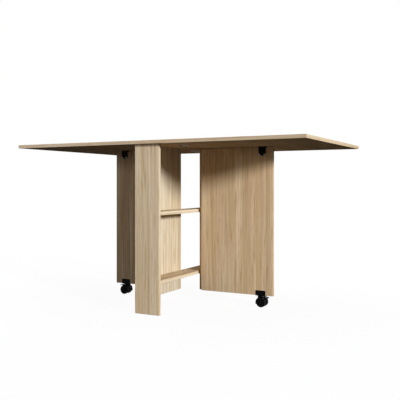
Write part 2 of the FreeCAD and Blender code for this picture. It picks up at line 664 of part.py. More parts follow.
def base_boards(holes, panel_hinge_holes, top_cuts):
    """The seven boards of the base, cut for their fittings, hinges and screws."""
    half_width = TABLE_WIDTH / 2
    centre_top = board(Vector(-CENTRE_HALF, -half_width, TOP_UNDERSIDE),
                       Vector(CENTRE_HALF, half_width, TABLE_HEIGHT))
    rear_end = board(Vector(-BASE_HALF, END_INNER_Y, 0), Vector(BASE_HALF, END_OUTER_Y, TOP_UNDERSIDE))
    rear_end = rear_end.cut(holes["rear_end_panel"])
    right_panel = board(Vector(PANEL_INNER_X, PANEL_END_Y, GROUND_GAP),
                        Vector(BASE_HALF, END_INNER_Y, TOP_UNDERSIDE))
    right_panel = right_panel.cut(holes["right_fixed_panel"] + panel_hinge_holes)
    one_side = holes["centre_top"] + top_cuts
    made = {"centre_top": centre_top.cut(one_side + [half_turn(cut) for cut in one_side]),
            "rear_end_panel": rear_end,
            "front_end_panel": half_turn(rear_end),
            "right_fixed_panel": right_panel,
            "left_fixed_panel": half_turn(right_panel)}
    shelf_half = PANEL_INNER_X - SHELF_SIDE_GAP
    for name, top in (("upper_shelf", UPPER_SHELF_TOP), ("lower_shelf", LOWER_SHELF_TOP)):
        shelf = board(Vector(-shelf_half, -END_INNER_Y, top - BOARD), Vector(shelf_half, END_INNER_Y, top))
        made[name] = shelf.cut(holes[name] + [half_turn(hole) for hole in holes[name]])
    return made


def right_side():
    """Every moving piece of the right side, by the name it has without its side."""
    swing = gate_hinges()
    lift = leaf_hinges()
    catch_places = catch_screw_points()
    bracket_places = bracket_screw_points()
    strike_points = strike_screw_points()
    catch_holes = [pan_screw_hole(point, way, CATCH_WALL) for point, way in catch_places]
    bracket_holes = [pan_screw_hole(point, way, BRACKET_WALL) for point, way in bracket_places]
    strike_holes = [wood_screw_hole(point, UP) for point in strike_points]
    gate_holes = [hole for one in swing for hole in one["moving_holes"]] + catch_holes + bracket_holes
    stem_pocket = rod(STEM_HEAD_RADIUS + FITTING_CLEARANCE, Vector(CASTOR_X, 0, GROUND_GAP - OVERRUN),
                      Vector(CASTOR_X, 0, GROUND_GAP + STEM_HEAD + FITTING_CLEARANCE))
    leaf_holes = [hole for one in lift for hole in one["moving_holes"]] + strike_holes + leaf_mortises()
    gate = board(Vector(GATE_NEAR_X, -BOARD / 2, GROUND_GAP), Vector(GATE_FAR_X, BOARD / 2, GATE_TOP))
    leaf = board(Vector(CENTRE_HALF + LEAF_GAP, -TABLE_WIDTH / 2, TOP_UNDERSIDE),
                 Vector(TABLE_LENGTH / 2, TABLE_WIDTH / 2, TABLE_HEIGHT))
    strike = slab(CATCH_X - STRIKE_LENGTH / 2, CATCH_X + STRIKE_LENGTH / 2,
                  -STRIKE_WIDTH / 2, STRIKE_WIDTH / 2, TOP_UNDERSIDE - STRIKE, TOP_UNDERSIDE)
    return {"leaf": [leaf.cut(leaf_holes)],
            "leaf_hinge_plates": [one["moving_plate"] for one in lift],
            "leaf_hinge_screws": [screw for one in lift for screw in one["moving_screws"]],
            "strike_plate": [strike.cut(strike_holes)],
            "strike_screws": [wood_screw(point, UP) for point in strike_points],
            "gate": [gate.cut(gate_holes + [stem_pocket])],
            "gate_hinge_plates": [one["moving_plate"] for one in swing],
            "gate_hinge_screws": [screw for one in swing for screw in one["moving_screws"]],
            "catch_saddle": [catch_saddle(catch_holes)],
            "catch_magnet": [magnet_block(0)],
            "catch_screws": [pan_screw(point, way, CATCH_WALL) for point, way in catch_places],
            "castor_bracket": [castor_bracket(bracket_holes)],
            "castor_bracket_screws": [pan_screw(point, way, BRACKET_WALL) for point, way in bracket_places],
            "castor_stem": [castor_stem(0, 0)],
            "castor_washer": [castor_washer()],
            "castor_hood": [castor_hood()],
            "castor_axle": [castor_axle()],
            "castor_front_wheel": [castor_wheel(1)],
            "castor_rear_wheel": [castor_wheel(-1)],
            "brake_lever": [brake_lever()]}


def table():
    """All the pieces of the table, as lists of solids by node name."""
    swing = gate_hinges()
    lift = leaf_hinges()
    made, holes = fittings()
    panel_hinge_holes = [hole for one in swing for hole in one["still_holes"]]
    top_cuts = [hole for one in lift for hole in one["still_holes"]] + leaf_mortises()
    nodes = {name: [solid] for name, solid in base_boards(holes, panel_hinge_holes, top_cuts).items()}
    made["gate_hinge_fixed_plates"] = [one["still_plate"] for one in swing]
    made["gate_hinge_fixed_screws"] = [screw for one in swing for screw in one["still_screws"]]
    made["gate_hinge_pins"] = [one["pin"] for one in swing]
    made["leaf_hinge_centre_plates"] = [one["still_plate"] for one in lift]
    made["leaf_hinge_centre_screws"] = [screw for one in lift for screw in one["still_screws"]]
    made["leaf_hinge_pins"] = [one["pin"] for one in lift]
    for name, solids in made.items():
        nodes[name] = solids + [half_turn(solid) for solid in solids]
    turned_names = {"castor_front_wheel": "castor_rear_wheel", "castor_rear_wheel": "castor_front_wheel"}
    for name, solids in right_side().items():
        nodes["right_" + name] = solids
        nodes["left_" + turned_names.get(name, name)] = [half_turn(solid) for solid in solids]
    return nodes


os.makedirs("parts", exist_ok=True)
for node_name, node_solids in table().items():
    node_shape = node_solids[0] if len(node_solids) == 1 else Part.makeCompound(node_solids)
    node_shape.exportStep("parts/" + node_name + ".step")
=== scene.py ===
import json
import math

import bmesh
import bpy
import numpy as np
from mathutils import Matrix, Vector


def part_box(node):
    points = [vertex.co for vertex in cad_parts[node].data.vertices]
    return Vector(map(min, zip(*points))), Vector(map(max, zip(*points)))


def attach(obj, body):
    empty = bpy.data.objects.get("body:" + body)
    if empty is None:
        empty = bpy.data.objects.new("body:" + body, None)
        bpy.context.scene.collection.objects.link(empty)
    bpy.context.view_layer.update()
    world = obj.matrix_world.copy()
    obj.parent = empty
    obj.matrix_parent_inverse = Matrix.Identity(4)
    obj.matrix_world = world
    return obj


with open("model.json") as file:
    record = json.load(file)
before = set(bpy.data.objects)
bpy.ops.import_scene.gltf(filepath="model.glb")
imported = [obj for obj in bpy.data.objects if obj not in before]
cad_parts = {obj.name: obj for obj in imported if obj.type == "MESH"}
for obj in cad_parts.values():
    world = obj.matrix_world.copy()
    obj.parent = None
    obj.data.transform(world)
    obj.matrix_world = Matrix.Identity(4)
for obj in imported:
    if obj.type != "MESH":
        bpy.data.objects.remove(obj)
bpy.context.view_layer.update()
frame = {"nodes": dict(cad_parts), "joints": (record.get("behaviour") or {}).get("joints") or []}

nodes = frame["nodes"]


# End panels, fixed side panels, shelves and the fixed strip of the top.
# Particle board faced with oak-grain melamine paper, its edges banded with the same decor.
# Cam fittings and dowels hold them together as a slim open cabinet.

class Flow:
    """A socket of a shader tree. Arithmetic on it adds Math nodes, and node() adds any other kind.
    With no socket yet it stands for the tree, to which node() adds a first node."""

    def __init__(self, tree, socket=None):
        self.tree = tree
        self.socket = socket

    def node(self, kind, settings=None, inputs=None, output=0):
        """Adds a node: its settings first, a ramp's stops among them, then its sockets' values or links."""
        made = self.tree.nodes.new(kind)
        for name, value in (settings or {}).items():
            if name == "stops":
                ramp = made.color_ramp.elements
                while len(ramp) < len(value):
                    ramp.new(1.0)
                for element, (place, colour) in zip(ramp, value):
                    element.position = place
                    element.color = (*colour, 1.0)
            else:
                setattr(made, name, value)
        for key, value in (inputs or {}).items():
            give(made.inputs[key], value)
        return Flow(self.tree, made.outputs[output])

    def math(self, operation, *values):
        """A Math node on flows and plain numbers."""
        return self.node("ShaderNodeMath", {"operation": operation}, dict(enumerate(values)))

    def __add__(self, other):
        return self.math("ADD", self, other)

    def __radd__(self, other):
        return self.math("ADD", other, self)

    def __sub__(self, other):
        return self.math("SUBTRACT", self, other)

    def __rsub__(self, other):
        return self.math("SUBTRACT", other, self)

    def __mul__(self, other):
        return self.math("MULTIPLY", self, other)

    def __rmul__(self, other):
        return self.math("MULTIPLY", other, self)

    def __abs__(self):
        return self.math("ABSOLUTE", self)

    def ramped(self, low, high):
        """0 at and below low, 1 at and above high, a straight line between."""
        return self.node("ShaderNodeMapRange", {"clamp": True}, {0: self, 1: low, 2: high})

    def sibling(self, output):
        """Another output of the node that this flow comes out of."""
        return Flow(self.tree, self.socket.node.outputs[output])

    def axes(self):
        """The three parts of a vector."""
        first = self.node("ShaderNodeSeparateXYZ", inputs={0: self})
        return [first.sibling(part) for part in range(3)]

    def vector(self, *parts):
        """A vector put together from three parts."""
        return self.node("ShaderNodeCombineXYZ", inputs=dict(enumerate(parts)))

    def times(self, factors):
        """A vector or a colour, each part times its own factor."""
        return self.node("ShaderNodeVectorMath", {"operation": "MULTIPLY"}, {0: self, 1: factors})

    def noise(self, rates, detail):
        """Soft noise between 0 and 1 at this place, with so many blobs to the metre along each axis."""
        return self.node("ShaderNodeTexNoise", inputs={
            "Vector": self.times(rates), "Scale": 1.0, "Detail": detail})

    def between(self, first, second):
        """A colour that goes from first to second as this flow goes from 0 to 1."""
        return self.node("ShaderNodeMix", {"data_type": "RGBA"}, {0: self, 6: first, 7: second}, output=2)

    def bump(self, strength, distance):
        """A normal tilted by this flow as a height."""
        return self.node("ShaderNodeBump", inputs={
            "Height": self, "Strength": strength, "Distance": distance})


def give(socket, value):
    """Links a flow to a socket, or sets a plain value there, a colour with an alpha of 1."""
    if isinstance(value, Flow):
        value.tree.links.new(value.socket, socket)
    elif socket.type == "RGBA":
        socket.default_value = (*value, 1.0)
    else:
        socket.default_value = value


def feed(shader, **sockets):
    """Gives flows or values to a shader's sockets, each by its name with _ for a space."""
    for name, value in sockets.items():
        give(shader.inputs[name.replace("_", " ")], value)


def new_finish(name):
    """A new material. Returns it, its Principled shader and its Object coordinates."""
    finish = bpy.data.materials.new(name)
    finish.use_nodes = True
    tree = finish.node_tree
    place = Flow(tree).node("ShaderNodeTexCoord", output="Object")
    return finish, tree.nodes["Principled BSDF"], place


def dress(finish, *names):
    """Gives CAD nodes one material."""
    for name in names:
        slots = nodes[name].data.materials
        slots.clear()
        slots.append(finish)


X_AXIS, Y_AXIS, Z_AXIS = range(3)
NOISE_MEAN = 0.5
OAK_PALE = (0.755, 0.615, 0.435)
OAK_MID = (0.625, 0.478, 0.310)
OAK_DEEP = (0.455, 0.318, 0.185)
OAK_ROSY = (0.620, 0.435, 0.285)
OAK_GOLD = (0.560, 0.400, 0.205)
OAK_FLECK = (0.400, 0.240, 0.110)
OAK_PORE = (0.300, 0.185, 0.095)
OAK_SEAM = (0.250, 0.160, 0.090)
# Painted shade: the dark brown that faces looking down are mixed toward, standing in for the shade under a
# board.
OAK_UNDERSIDE_PAINTED_SHADE = (0.260, 0.165, 0.090)

# Streaks to the metre across the grain, through the board and along the grain.
WAVE_RATES = (5.0, 5.0, 2.3)
BAND_RATES = (26.0, 26.0, 0.8)
LINE_RATES = (105.0, 105.0, 1.9)
FIBRE_RATES = (620.0, 620.0, 7.0)
PORE_RATES = (1150.0, 1150.0, 30.0)
ROSY_RATES = (48.0, 48.0, 1.3)
GOLD_RATES = (66.0, 66.0, 1.7)
FLECK_RATES = (120.0, 120.0, 6.5)

# The print's tone is bands, lines and fibres together. It is deep or pale so far from its middle.
BAND_PART = 0.36
LINE_PART = 0.44
FIBRE_PART = 0.20
DEEP_SPREAD = 0.148
PALE_SPREAD = 0.122

# Each tint's rates, the noise where it begins and where it is full, its share there and its colour.
PRINT_TINTS = (
    (ROSY_RATES, (0.46, 0.70), 0.50, OAK_ROSY),
    (GOLD_RATES, (0.50, 0.70), 0.55, OAK_GOLD),
    (FLECK_RATES, (0.58, 0.72), 0.58, OAK_FLECK),
)
PORE_MASK = (0.58, 0.70)
PORE_SHARE = 0.14
PORE_SHARE_IN_BANDS = 0.40
SEAM_SHARE = 0.55
# How far faces looking down are mixed toward the painted shade colour.
UNDERSIDE_PAINTED_SHADE_SHARE = 0.40

# Metres that a streak wanders, and that the print is shifted by from one board to the next.
WAVE_SWAY = 0.014
SIDE_SHIFT = 1.37
LENGTH_SHIFT = 2.11

# The part of the normal along an axis from which a face begins to be an end band, flat or level,
# and at which it is so fully.
END_FACING = (0.65, 0.75)
FLAT_FACING = (0.90, 0.97)
LEVEL_FACING = (0.60, 0.90)

# Metres that an edge band is thick, and that the seam beside it is wide.
EDGE_BAND = 0.0009
SEAM_WIDTH = 0.00022

# Gloss and relief
OAK_ROUGHNESS = 0.72
FIBRE_ROUGHNESS = 0.10
PORE_ROUGHNESS = 0.12
PLAIN_COAT = 0.03
TOP_COAT = 0.10
COAT_ROUGHNESS = 0.50
FIBRE_RELIEF = 0.35
PORE_RELIEF = 0.80
SEAM_RELIEF = 0.80
OAK_BUMP = (0.22, 0.00008)


def oak_laminate(name, grain, face, seed, shade, top_coat=PLAIN_COAT, figure=1.0):
    """Straight-grained oak print. Streaks are noise drawn out along the grain axis, on the faces
    and on the side bands; on the two end bands the streaks run along the band instead. A thin
    dark seam shows where each band meets the face. Faces that look down are mixed toward a dark
    brown as painted shade, the shade that falls under a board. The shade argument is a tint for
    each board: on some boards it sets one batch a little apart, on others it paints light or
    shade over the whole board. Figure says how boldly a board's streaks stand out."""
    low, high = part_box(name)
    across = X_AXIS + Y_AXIS + Z_AXIS - grain - face
    finish, shader, place = new_finish("oak_" + name)
    spot = place.axes()
    outward = place.sibling("Normal").axes()
    facing = [abs(part) for part in outward]
    end_band = facing[grain].ramped(*END_FACING)
    flat = facing[face].ramped(*FLAT_FACING)
    upper = outward[Z_AXIS].ramped(*LEVEL_FACING)
    lower = (0 - outward[Z_AXIS]).ramped(*LEVEL_FACING)

    side = spot[across] + seed * SIDE_SHIFT
    length = spot[grain] + seed * LENGTH_SHIFT
    run = length + end_band * (side - length)
    breadth = side + end_band * (length - side)
    wave = place.vector(breadth, spot[face], run).noise(WAVE_RATES, detail=1.0)
    print_place = place.vector(breadth + (wave - NOISE_MEAN) * WAVE_SWAY, spot[face], run)
    bands = print_place.noise(BAND_RATES, detail=1.0)
    lines = print_place.noise(LINE_RATES, detail=2.0)
    fibres = print_place.noise(FIBRE_RATES, detail=1.0)
    pores = print_place.noise(PORE_RATES, detail=1.0).ramped(*PORE_MASK)

    tone = bands * BAND_PART + lines * LINE_PART + fibres * FIBRE_PART
    colour = tone.node("ShaderNodeValToRGB", {"stops": [
        (NOISE_MEAN - DEEP_SPREAD / figure, OAK_DEEP), (NOISE_MEAN, OAK_MID),
        (NOISE_MEAN + PALE_SPREAD / figure, OAK_PALE)]}, {0: tone})
    for rates, mask, share, tint in PRINT_TINTS:
        colour = (print_place.noise(rates, detail=1.0).ramped(*mask) * share).between(colour, tint)
    colour = (pores * (PORE_SHARE + bands * PORE_SHARE_IN_BANDS)).between(colour, OAK_PORE)
    colour = colour.times(shade)

    rims = []
    for axis in (across, grain):
        middle = (low[axis] + high[axis]) / 2
        half = (high[axis] - low[axis]) / 2
        rims.append(half - abs(spot[axis] - middle))
    inset = place.math("MINIMUM", *rims)
    seam = (1 - abs(inset - EDGE_BAND).ramped(SEAM_WIDTH / 2, SEAM_WIDTH)) * flat
    colour = (seam * SEAM_SHARE).between(colour, OAK_SEAM)
    # Painted shade: faces that look down are mixed toward a dark brown, standing in for the shade under a
    # board.
    colour = (lower * UNDERSIDE_PAINTED_SHADE_SHARE).between(colour, OAK_UNDERSIDE_PAINTED_SHADE)

    relief = fibres * FIBRE_RELIEF - pores * PORE_RELIEF - seam * SEAM_RELIEF
    feed(shader, Base_Color=colour,
         Roughness=OAK_ROUGHNESS + fibres * FIBRE_ROUGHNESS + pores * PORE_ROUGHNESS,
         Coat_Weight=PLAIN_COAT + upper * (top_coat - PLAIN_COAT) - lower * PLAIN_COAT,
         Coat_Roughness=COAT_ROUGHNESS, Specular_IOR_Level=0.0, Normal=relief.bump(*OAK_BUMP))
    dress(finish, name)


FRONT_SHADE = (1.09, 1.10, 1.11)
EVEN_SHADE = (1.06, 1.07, 1.06)
# Painted light: a paler, bluer tint for the inner fixed panel, whose face stands in the full key light.
LIT_PANEL_PAINTED_PALE = (0.99, 1.06, 1.13)
# Painted light: a brighter tint for the shelves, standing in for the light thrown onto their tops by the
# lit panel beside them.
SHELF_PAINTED_LIGHT = (1.08, 1.13, 1.17)
oak_laminate("front_end_panel", grain=Z_AXIS, face=Y_AXIS, seed=1, shade=FRONT_SHADE)
oak_laminate("rear_end_panel", grain=Z_AXIS, face=Y_AXIS, seed=2, shade=EVEN_SHADE)
oak_laminate("left_fixed_panel", grain=Z_AXIS, face=X_AXIS, seed=3, shade=LIT_PANEL_PAINTED_PALE)
oak_laminate("right_fixed_panel", grain=Z_AXIS, face=X_AXIS, seed=4, shade=EVEN_SHADE)
oak_laminate("upper_shelf", grain=Y_AXIS, face=Z_AXIS, seed=5, shade=SHELF_PAINTED_LIGHT)
oak_laminate("lower_shelf", grain=Y_AXIS, face=Z_AXIS, seed=6, shade=SHELF_PAINTED_LIGHT)
oak_laminate("centre_top", grain=Y_AXIS, face=Z_AXIS, seed=7, shade=EVEN_SHADE, top_coat=TOP_COAT)

# Knock-down fittings: cam nuts, the steel bolts that they draw tight, and chamfered beech dowels.
# The nuts are die-cast zinc, let into blind holes flush with the hidden faces of the boards.
# All of them sit in the boards' joints, and only the nuts' slotted faces show.
EVEN_LINES = (700.0, 700.0, 700.0)
HANDLING_MARKS = (90.0, 90.0, 90.0)
MARKS_DULLING = 0.55
LINES_DULLING = 0.35
MARKS_ROUGHNESS = 0.16
LINES_ROUGHNESS = 0.14
PLATING_BUMP = (0.12, 0.00003)


def plated(name, bright, dull, rough, drawn):
    """Plated or cast metal. Fine lines lie along the axis where drawn is small, and soft handling
    marks dull the surface in patches; drawn gives the lines per metre along X, Y and Z."""
    finish, shader, place = new_finish(name)
    lines = place.noise(drawn, detail=2.0)
    marks = place.noise(HANDLING_MARKS, detail=3.0)
    feed(shader, Base_Color=(marks * MARKS_DULLING + lines * LINES_DULLING).between(bright, dull),
         Metallic=1.0, Normal=lines.bump(*PLATING_BUMP),
         Roughness=rough + marks * MARKS_ROUGHNESS + (lines - NOISE_MEAN) * LINES_ROUGHNESS)
    return finish


BEECH_PALE = (0.66, 0.47, 0.29)
BEECH_DEEP = (0.47, 0.30, 0.17)
BEECH_FLECKS = (900.0, 900.0, 900.0)
BEECH_CLOUDS = (160.0, 160.0, 160.0)
BEECH_FLECK_PART = 0.5
BEECH_CLOUD_PART = 0.4
BEECH_ROUGHNESS = 0.62
BEECH_FLECK_ROUGHNESS = 0.15
BEECH_BUMP = (0.2, 0.0001)


def raw_beech(name):
    """Bare beech: fine flecks over soft clouds of tone."""
    finish, shader, place = new_finish(name)
    flecks = place.noise(BEECH_FLECKS, detail=2.0)
    clouds = place.noise(BEECH_CLOUDS, detail=2.0)
    tone = flecks * BEECH_FLECK_PART + clouds * BEECH_CLOUD_PART
    feed(shader, Base_Color=tone.between(BEECH_PALE, BEECH_DEEP),
         Roughness=BEECH_ROUGHNESS + flecks * BEECH_FLECK_ROUGHNESS, Normal=flecks.bump(*BEECH_BUMP))
    return finish


cast_zinc = plated("cast_zinc", bright=(0.47, 0.48, 0.50), dull=(0.31, 0.32, 0.33), rough=0.46,
                   drawn=EVEN_LINES)
bolt_steel = plated("bolt_steel", bright=(0.62, 0.61, 0.58), dull=(0.45, 0.44, 0.42), rough=0.30,
                    drawn=EVEN_LINES)
dress(cast_zinc, "cam_nuts")
dress(bolt_steel, "cam_bolts")
dress(raw_beech("raw_beech"), "wood_dowels")

# Gate hinges: three nickel-plated steel butt hinges per gate, in the corner between panel and gate.
# One plate is screwed to the fixed panel's outer face, the other to the gate's face beside it.
# The pin's two ends are peened over into low round heads.
ALONG_Z = (900.0, 900.0, 14.0)
upright_nickel = plated("nickel_upright", bright=(0.57, 0.54, 0.49), dull=(0.36, 0.33, 0.30), rough=0.24,
                        drawn=ALONG_Z)
# Painted shade: the screws' nickel is darker than the plates', standing in for the shade in their recesses.
screw_nickel_painted_shade = plated("nickel_screws_painted_shade", bright=(0.44, 0.41, 0.37), dull=(0.24, 0.22, 0.20), rough=0.26,
                      drawn=EVEN_LINES)
dress(upright_nickel, "gate_hinge_fixed_plates", "left_gate_hinge_plates", "right_gate_hinge_plates",
      "gate_hinge_pins")
dress(screw_nickel_painted_shade, "gate_hinge_fixed_screws", "left_gate_hinge_screws", "right_gate_hinge_screws")


def corners_of(name):
    """All the corners of a CAD node's mesh, as rows of x, y and z."""
    mesh = nodes[name].data
    flat = np.empty(len(mesh.vertices) * 3)
    mesh.vertices.foreach_get("co", flat)
    return flat.reshape(-1, 3)


def levels(values, step):
    """The distinct levels among values, those closer than step counted as one."""
    ordered = np.sort(values)
    starts = np.concatenate(([True], np.diff(ordered) > step))
    return ordered[starts]


def skin(points):
    """Corners and quads of a grid of points, shaped rows by columns by 3. Each row is a ring, so the
    last column joins the first."""
    rows, columns = points.shape[:2]
    row = np.arange(rows - 1)[:, None] * columns
    column = np.arange(columns)[None, :]
    following = (column + 1) % columns
    quads = np.stack([row + column, row + following, row + columns + following, row + columns + column],
                     axis=-1)
    return points.reshape(-1, 3), quads.reshape(-1, 4)


def turned(profile, centre, axis, sides):
    """A surface of revolution: each profile row is a radius and a height along the unit axis, and
    the circle of that radius is swept round the axis through the centre."""
    axis = np.asarray(axis, float)
    helper = np.eye(3)[np.argmin(np.abs(axis))]
    first = np.cross(axis, helper)
    first = first / np.linalg.norm(first)
    second = np.cross(axis, first)
    turn = np.linspace(0, 2 * np.pi, sides, endpoint=False)
    ring = np.cos(turn)[:, None] * first + np.sin(turn)[:, None] * second
    radius, height = np.asarray(profile, float).T
    return skin(np.asarray(centre) + radius[:, None, None] * ring + height[:, None, None] * axis)


MERGE = 1e-7


def new_piece(name, skins, finish, body):
    """One mesh object from several skins, each a pair of corners and quads, riding on a body. Corners
    that coincide, as at a pole, are merged, and the faces are turned outwards."""
    offset = 0
    corners, quads = [], []
    for skin_corners, skin_quads in skins:
        corners.append(skin_corners)
        quads.append(skin_quads + offset)
        offset += len(skin_corners)
    mesh = bpy.data.meshes.new(name)
    mesh.from_pydata(np.concatenate(corners).tolist(), [], np.concatenate(quads).tolist())
    closed = bmesh.new()
    closed.from_mesh(mesh)
    bmesh.ops.remove_doubles(closed, verts=closed.verts, dist=MERGE)
    bmesh.ops.recalc_face_normals(closed, faces=closed.faces)
    closed.to_mesh(mesh)
    closed.free()
    mesh.shade_smooth()
    mesh.materials.append(finish)
    piece = bpy.data.objects.new(name, mesh)
    bpy.context.scene.collection.objects.link(piece)
    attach(piece, body)


joints = {joint["name"]: joint for joint in frame["joints"]}
PIN_HEAD_RADIUS = 0.0021
PIN_HEAD_HEIGHT = 0.0009
PIN_HEAD_ROWS = 7
PIN_HEAD_SIDES = 20
PIN_END_STEP = 0.001


def pin_heads(name, pins, axis, joint, finish):
    """A low dome on both ends of every pin: a quarter ellipse from rim to crown, turned round the
    pin. The ends are the levels of the pins' corners along their axis, foot and top by turns, and
    the joint of each side gives the line that they lie on."""
    turn = np.linspace(np.pi / 2, 0, PIN_HEAD_ROWS)
    dome = np.stack([PIN_HEAD_RADIUS * np.sin(turn), PIN_HEAD_HEIGHT * np.cos(turn)], axis=1)
    profile = np.concatenate([[[0, 0]], dome])
    heads = []
    for side in ("left", "right"):
        for number, end in enumerate(levels(corners_of(pins)[:, axis], PIN_END_STEP)):
            centre = np.array(joints[side + joint]["pos_m"], float)
            centre[axis] = end
            way = np.zeros(3)
            way[axis] = 1 if number % 2 else -1
            heads.append(turned(profile, centre, way, PIN_HEAD_SIDES))
    new_piece(name, heads, finish, "base")


pin_heads("gate_hinge_pin_heads", "gate_hinge_pins", Z_AXIS, "_gate_swing", upright_nickel)

# Gates and leaves: the moving boards, of the same faced and banded board as the base.
# Each gate hangs on three hinges and rolls on a castor, and carries a leaf when it stands open.
# The leaves' grain runs across the table, the gates' grain stands upright.
# Partly painted light: the right gate's warmer tint is partly its board's tone and partly painted warm
# light bounced off the wood around it.
GOLDEN_TONE_AND_PAINTED_WARMTH = (1.11, 1.05, 0.97)
# Painted shade: a darker, greyer tint for the left gate and the left leaf, whose faces lie in shade.
SHADED_BOARD_PAINTED_DARK = (0.96, 0.95, 0.97)
BOLD_FIGURE = 2.1
oak_laminate("left_gate", grain=Z_AXIS, face=Y_AXIS, seed=8, shade=SHADED_BOARD_PAINTED_DARK, figure=BOLD_FIGURE)
oak_laminate("right_gate", grain=Z_AXIS, face=Y_AXIS, seed=9, shade=GOLDEN_TONE_AND_PAINTED_WARMTH)
oak_laminate("left_leaf", grain=Y_AXIS, face=Z_AXIS, seed=10, shade=SHADED_BOARD_PAINTED_DARK, top_coat=TOP_COAT)
oak_laminate("right_leaf", grain=Y_AXIS, face=Z_AXIS, seed=11, shade=EVEN_SHADE, top_coat=TOP_COAT)

# Leaf hinges: two nickel-plated butt hinges per leaf, let in flush with the top's underside.
# Countersunk screws hold one plate to the fixed strip and one to the leaf.
# Their pins end in the same peened heads as the gate hinges'.
ALONG_Y = (900.0, 14.0, 900.0)
# Painted shade and painted reflection: this nickel is darker and browner than the gate hinges', standing in
# for the shade under the top and the brown wood that the plates mirror.
level_nickel_painted_shade = plated("nickel_level_painted_shade", bright=(0.31, 0.25, 0.19), dull=(0.17, 0.14, 0.11), rough=0.34,
                      drawn=ALONG_Y)
dress(level_nickel_painted_shade, "leaf_hinge_centre_plates", "left_leaf_hinge_plates", "right_leaf_hinge_plates",
      "leaf_hinge_pins")
dress(screw_nickel_painted_shade, "leaf_hinge_centre_screws", "left_leaf_hinge_screws", "right_leaf_hinge_screws")
pin_heads("leaf_hinge_pin_heads", "leaf_hinge_pins", Y_AXIS, "_leaf_lift", level_nickel_painted_shade)

# Catches: a black moulded saddle over each gate's top edge, with a bar magnet let into it.
# Four pan-head screws fix it. A steel strike plate, powder coated black, is screwed under the leaf
# and faces the magnet.
BLACK_SHEEN = 0.03
NYLON_DEEP = (0.0021, 0.0021, 0.00216)
NYLON_PALE = (0.0045, 0.0045, 0.0045)
NYLON_GRAINS = (2600.0, 2600.0, 2600.0)
NYLON_MARKS = (70.0, 70.0, 70.0)
NYLON_GRAIN_PART = 0.3
NYLON_MARK_PART = 0.7
NYLON_ROUGHNESS = 0.40
NYLON_GRAIN_ROUGHNESS = 0.06
NYLON_MARK_ROUGHNESS = 0.16
NYLON_BUMP = (0.16, 0.00004)


def moulded_nylon(name):
    """Black moulded nylon: a fine spark-eroded texture and faint flow marks in its gloss."""
    finish, shader, place = new_finish(name)
    grains = place.noise(NYLON_GRAINS, detail=2.0)
    marks = place.noise(NYLON_MARKS, detail=3.0)
    tone = marks * NYLON_MARK_PART + grains * NYLON_GRAIN_PART
    feed(shader, Base_Color=tone.between(NYLON_DEEP, NYLON_PALE),
         Roughness=NYLON_ROUGHNESS + marks * NYLON_MARK_ROUGHNESS + grains * NYLON_GRAIN_ROUGHNESS,
         Specular_IOR_Level=BLACK_SHEEN, Normal=grains.bump(*NYLON_BUMP))
    return finish


BLACK_DEEP = (0.002, 0.002, 0.0022)
BLACK_PALE = (0.005, 0.005, 0.0053)
COATING_PEEL = (1100.0, 1100.0, 1100.0)
COATING_MARKS = (120.0, 120.0, 120.0)
COATING_ROUGHNESS = 0.36
COATING_MARK_ROUGHNESS = 0.2
COATING_BUMP = (0.25, 0.00006)


def powder_coating(name):
    """Black powder coating: a fine orange peel, and marks that change its tone and gloss."""
    finish, shader, place = new_finish(name)
    peel = place.noise(COATING_PEEL, detail=1.0)
    marks = place.noise(COATING_MARKS, detail=3.0)
    feed(shader, Base_Color=marks.between(BLACK_DEEP, BLACK_PALE),
         Roughness=COATING_ROUGHNESS + marks * COATING_MARK_ROUGHNESS,
         Specular_IOR_Level=BLACK_SHEEN, Normal=peel.bump(*COATING_BUMP))
    return finish


black_nylon = moulded_nylon("black_nylon")
black_coating = powder_coating("black_powder_coat")
sintered_magnet = plated("sintered_magnet", bright=(0.16, 0.16, 0.17), dull=(0.09, 0.09, 0.10), rough=0.55,
                         drawn=EVEN_LINES)
dress(black_nylon, "left_catch_saddle", "right_catch_saddle")
dress(screw_nickel_painted_shade, "left_catch_screws", "right_catch_screws")
dress(sintered_magnet, "left_catch_magnet", "right_catch_magnet")
dress(black_coating, "left_strike_plate", "right_strike_plate", "left_strike_screws", "right_strike_screws")

# Castor brackets and swivel stems: a folded steel shoe round each gate's bottom edge.
# The shoe is powder coated black and screwed through both cheeks. The bright stem hangs in it by its
# head, and a black nylon washer parts the shoe from the castor's hood.
bright_steel = plated("stem_steel", bright=(0.64, 0.63, 0.61), dull=(0.45, 0.44, 0.42), rough=0.26,
                      drawn=ALONG_Z)
dress(black_coating, "left_castor_bracket", "right_castor_bracket",
      "left_castor_bracket_screws", "right_castor_bracket_screws")
dress(bright_steel, "left_castor_stem", "right_castor_stem")
dress(black_nylon, "left_castor_washer", "right_castor_washer")

# Castors: twin black nylon wheels on a steel axle under a moulded hood, with a foot brake.
# The hood clips onto the stem, and each wheel runs free on its end of the axle.
# Each wheel has a domed hub cap and moulded spokes, and the brake's toe tab has three grip ridges.
dress(black_nylon, "left_castor_hood", "right_castor_hood", "left_brake_lever", "right_brake_lever")
dress(bright_steel, "left_castor_axle", "right_castor_axle")

SCUFF_GREY = (0.026, 0.025, 0.024)
SCUFF_RATES = (260.0, 900.0, 260.0)
SCUFF_MASK = (0.42, 0.68)
SCUFF_SHARE = 0.40
TREAD_INSIDE = 0.0012
TREAD_FULL = 0.0003
WHEEL_GRAINS = (2200.0, 2200.0, 2200.0)
WHEEL_ROUGHNESS = 0.36
WHEEL_GRAIN_ROUGHNESS = 0.08
SCUFF_ROUGHNESS = 0.3
WHEEL_BUMP = (0.2, 0.00005)


